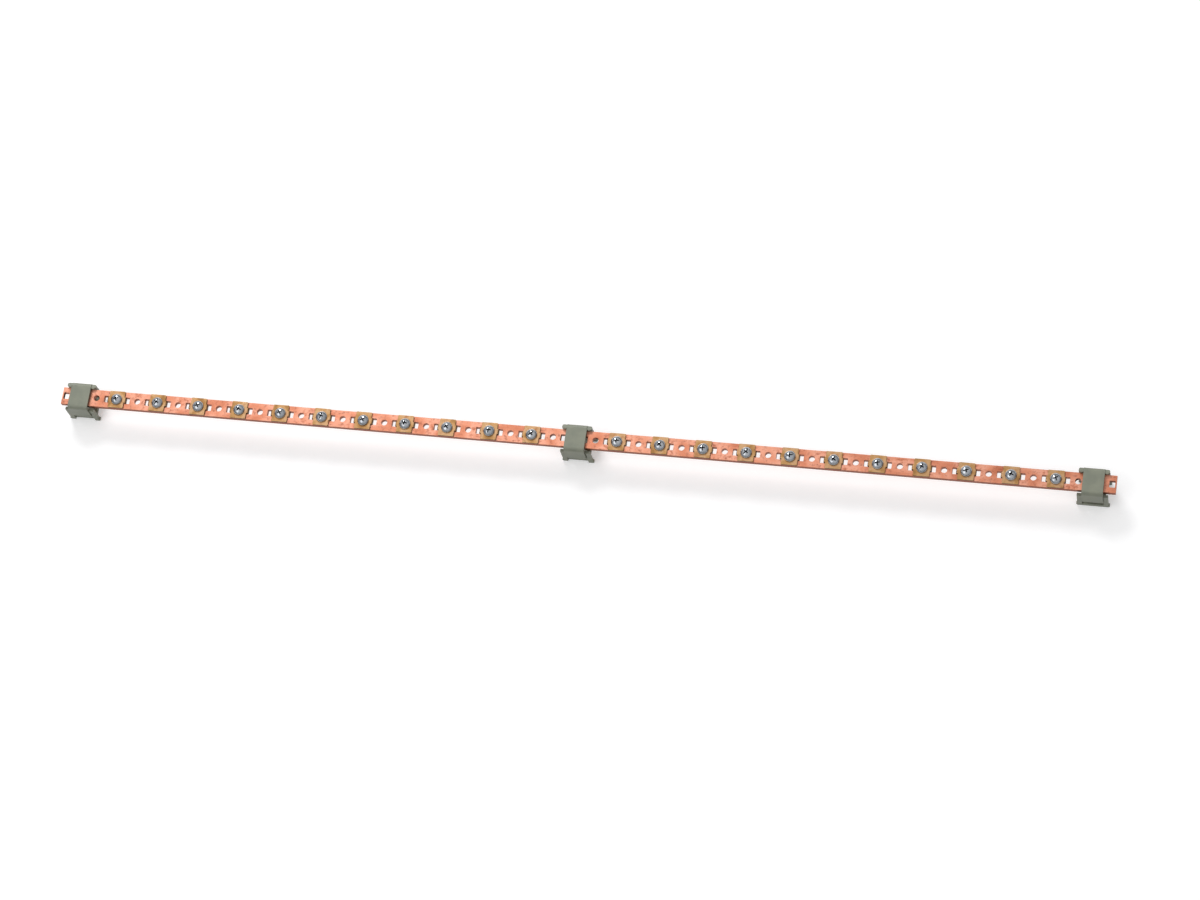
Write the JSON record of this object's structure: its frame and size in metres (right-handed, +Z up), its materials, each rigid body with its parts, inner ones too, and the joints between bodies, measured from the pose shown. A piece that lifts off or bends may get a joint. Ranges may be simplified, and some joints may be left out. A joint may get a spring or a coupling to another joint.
{
  "type": "rack grounding busbar",
  "caption": "Long drilled copper grounding bar with screw clamp terminals, held by snap-over plastic holders, for earthing equipment in a rack.",
  "frame": {"origin": "on the mounting surface, under the middle of the bar's length and width", "axes": "+X along the bar to its right end, +Y from the low side of the holders towards the back plate of the caps, +Z up, out of the terminals"},
  "size_m": [0.889, 0.024, 0.029],
  "materials": {
    "copper": "bare rolled copper, lightly oxidised",
    "clamp_brass": "yellow passivated sheet, lightly brushed",
    "screw_zinc": "bright zinc plated steel",
    "holder_plastic": "moulded grey-green polyamide, satin"
  },
  "bodies": {
    "root": {"busbar": "copper", "clamp_plate_01": "clamp_brass", "clamp_plate_02": "clamp_brass", "clamp_plate_03": "clamp_brass", "clamp_plate_04": "clamp_brass", "clamp_plate_05": "clamp_brass", "clamp_plate_06": "clamp_brass", "clamp_plate_07": "clamp_brass", "clamp_plate_08": "clamp_brass", "clamp_plate_09": "clamp_brass", "clamp_plate_10": "clamp_brass", "clamp_plate_11": "clamp_brass", "clamp_plate_12": "clamp_brass", "clamp_plate_13": "clamp_brass", "clamp_plate_14": "clamp_brass", "clamp_plate_15": "clamp_brass", "clamp_plate_16": "clamp_brass", "clamp_plate_17": "clamp_brass", "clamp_plate_18": "clamp_brass", "clamp_plate_19": "clamp_brass", "clamp_plate_20": "clamp_brass", "clamp_plate_21": "clamp_brass", "clamp_plate_22": "clamp_brass", "terminal_screws": "screw_zinc", "holder_base_left": "holder_plastic", "holder_base_middle": "holder_plastic", "holder_base_right": "holder_plastic", "holder_cap_left": "holder_plastic", "holder_cap_middle": "holder_plastic", "holder_cap_right": "holder_plastic"}
  },
  "joints": []
}
